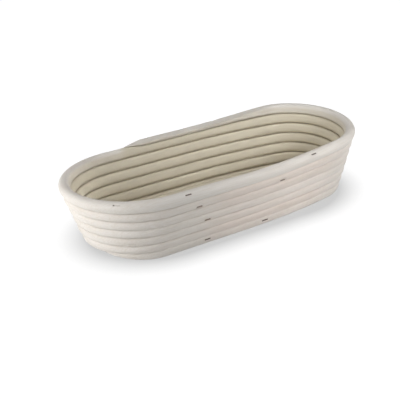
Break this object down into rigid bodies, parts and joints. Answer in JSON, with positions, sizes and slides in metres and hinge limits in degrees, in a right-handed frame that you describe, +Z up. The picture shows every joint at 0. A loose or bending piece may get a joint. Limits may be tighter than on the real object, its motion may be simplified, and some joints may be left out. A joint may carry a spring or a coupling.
{
  "type": "proofing basket",
  "caption": "Long oval proofing basket wound from round rattan cane in a leaning wall, with a coiled floor, a pared rim end and wire staples.",
  "frame": {"origin": "middle of the base footprint, on the surface the basket stands on", "axes": "+X along the basket towards its right-hand end in the picture, +Y across it towards the side with the pared rim end, +Z up"},
  "size_m": [0.3304, 0.1524, 0.0753],
  "materials": {
    "floor_cane": "peeled rattan core, dry and unvarnished",
    "wall_cane": "peeled rattan core, dry and unvarnished",
    "staple_wire": "dull flat wire"
  },
  "bodies": {
    "root": {"front_core_rod": "floor_cane", "back_core_rod": "floor_cane", "inner_floor_cane": "floor_cane", "outer_floor_cane": "wall_cane", "lower_wall_cane": "wall_cane", "upper_wall_cane": "wall_cane", "rim_cane": "wall_cane", "core_staples": "staple_wire", "inner_floor_staples": "staple_wire", "outer_floor_staples": "staple_wire", "base_turn_staples": "staple_wire", "wall_staples_1": "staple_wire", "wall_staples_2": "staple_wire", "wall_staples_3": "staple_wire", "wall_staples_4": "staple_wire", "wall_staples_5": "staple_wire", "rim_staples": "staple_wire", "floor_splice_staples": "staple_wire", "base_splice_staples": "staple_wire", "lower_splice_staples": "staple_wire", "upper_splice_staples": "staple_wire", "rim_end_staple": "staple_wire"}
  },
  "joints": []
}
